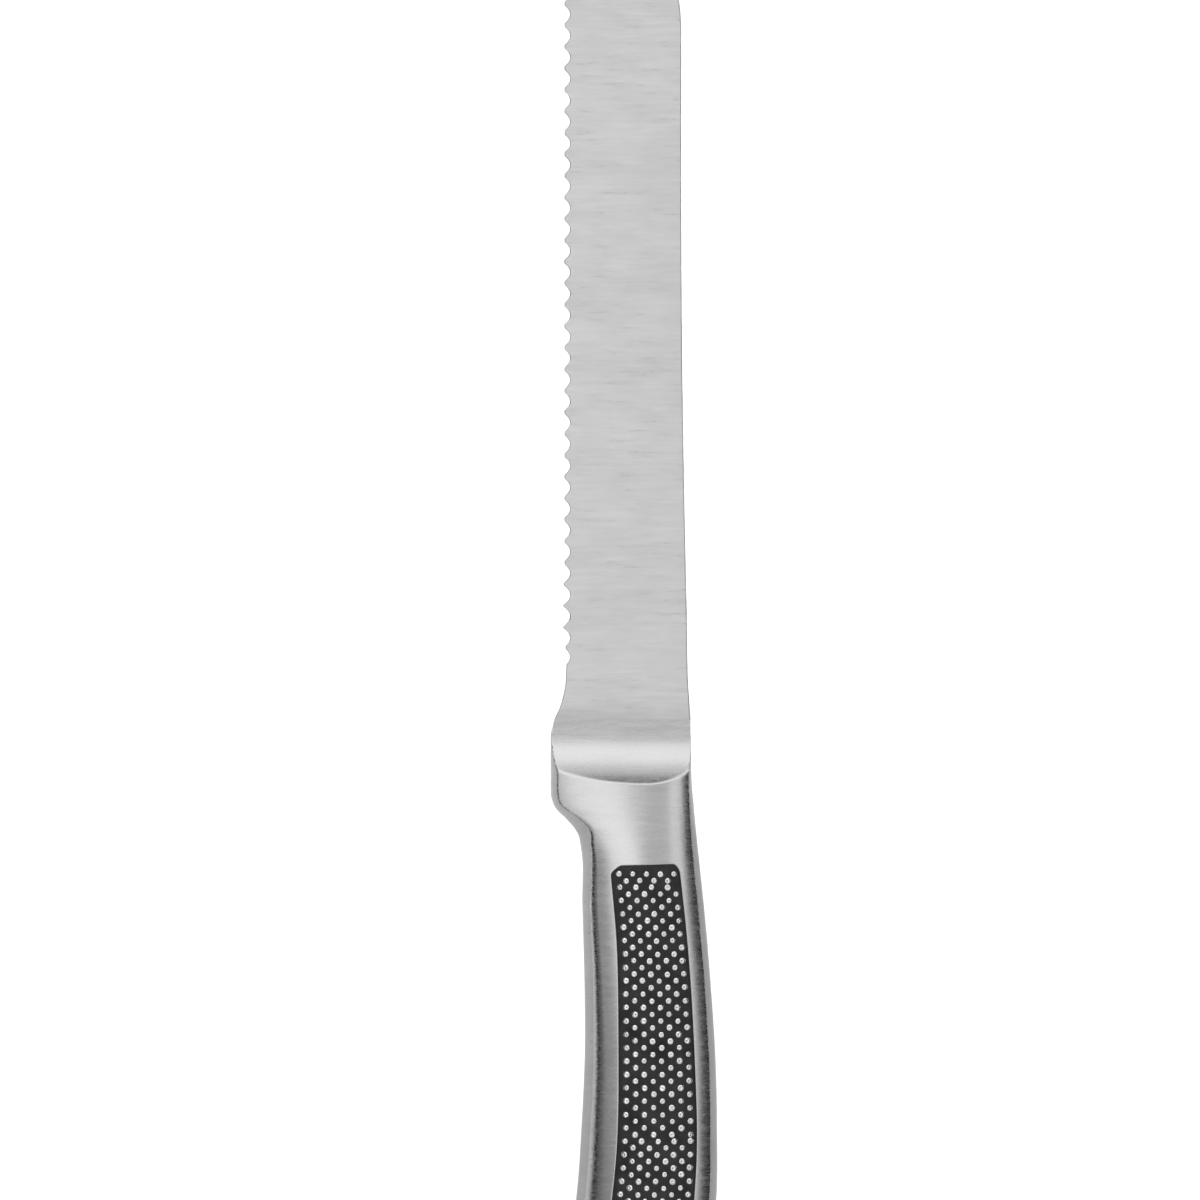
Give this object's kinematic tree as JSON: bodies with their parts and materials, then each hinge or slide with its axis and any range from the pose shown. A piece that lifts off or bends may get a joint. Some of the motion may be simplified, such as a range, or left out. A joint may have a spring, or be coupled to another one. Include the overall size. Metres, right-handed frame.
{
  "type": "bread knife",
  "caption": "Serrated bread knife with a hollow steel handle, hollow-fillet bolster, finger notch and studded black grip panels.",
  "frame": {"origin": "centre of the bounding box's bottom face: the knife lies flat on its right side", "axes": "+Y along the knife to the blade's tip, +X towards the spine, +Z out of the blade's left side"},
  "size_m": [0.0393, 0.332, 0.0194],
  "materials": {
    "blade_steel": "fine satin, brushed across the blade",
    "bolster_steel": "satin, ground flush",
    "handle_steel": "soft satin",
    "stud_steel": "polished stud tops",
    "grip_black": "matt, slightly textured",
    "resin": "cast",
    "cast_weight": "as cast"
  },
  "bodies": {
    "root": {"blade": "blade_steel", "bolster": "bolster_steel", "handle_shell_left": "handle_steel", "handle_shell_right": "handle_steel", "pip_plate_left": "stud_steel", "pip_plate_right": "stud_steel", "grip_infill_left": "grip_black", "grip_infill_right": "grip_black", "tang_resin": "resin", "balance_weight": "cast_weight"}
  },
  "joints": []
}
